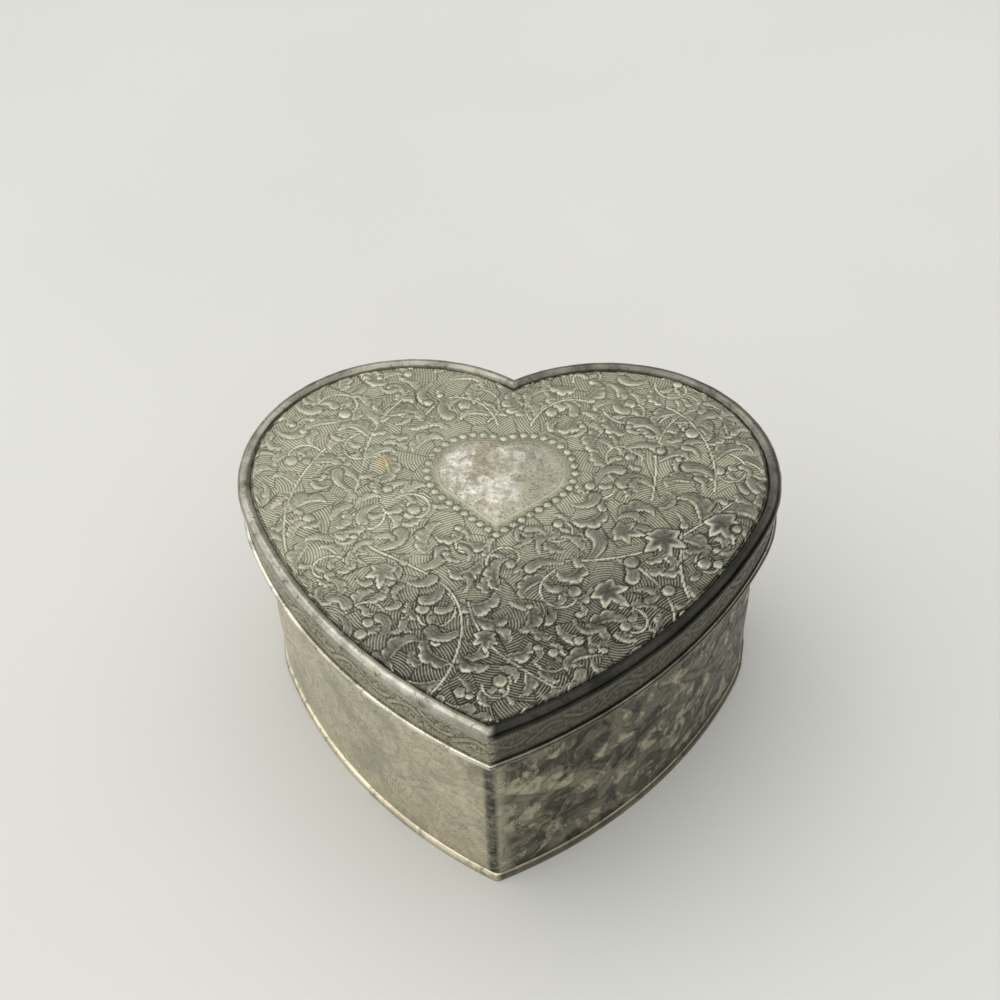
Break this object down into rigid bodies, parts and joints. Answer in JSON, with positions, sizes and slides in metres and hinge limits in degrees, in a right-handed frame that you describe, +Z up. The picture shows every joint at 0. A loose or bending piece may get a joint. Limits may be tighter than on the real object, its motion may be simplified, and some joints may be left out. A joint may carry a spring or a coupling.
{
  "type": "trinket box",
  "caption": "Heart-shaped metal trinket box with a hinged, embossed lid, a plain heart in a pearl border and a velvet lining.",
  "frame": {"origin": "centre of the closed box's footprint, hinge included, on the surface it stands on", "axes": "+Z up, -Y towards the tip of the heart, +X to the right as seen from the tip"},
  "size_m": [0.0796, 0.0748, 0.0395],
  "materials": {
    "tarnished_silver": "embossed, with grey patina in the hollows",
    "dark_silver": "dark patina, worn bright on the crest",
    "bright_silver": "worn bright",
    "hinge_metal": "dulled plate",
    "lining_card": "matt",
    "velvet": "short velvet pile"
  },
  "bodies": {
    "box": {"base_plate": "tarnished_silver", "body_wall": "tarnished_silver", "body_lip": "bright_silver", "floor_board": "lining_card", "floor_velvet": "velvet", "wall_card": "lining_card", "wall_velvet": "velvet", "hinge_body_leaf": "hinge_metal", "hinge_pin": "hinge_metal"},
    "lid": {"hinge_lid_leaf": "hinge_metal", "lid_panel": "tarnished_silver", "lid_rim": "dark_silver", "lid_band": "tarnished_silver", "lid_bead": "bright_silver", "lid_board": "lining_card", "lid_velvet": "velvet"}
  },
  "joints": [
    {"name": "lid_hinge", "type": "hinge", "parent": "box", "child": "lid", "pos_m": [0, 0.0353, 0.0315], "axis": [-1, 0, 0], "range_deg": [0, 100]}
  ]
}
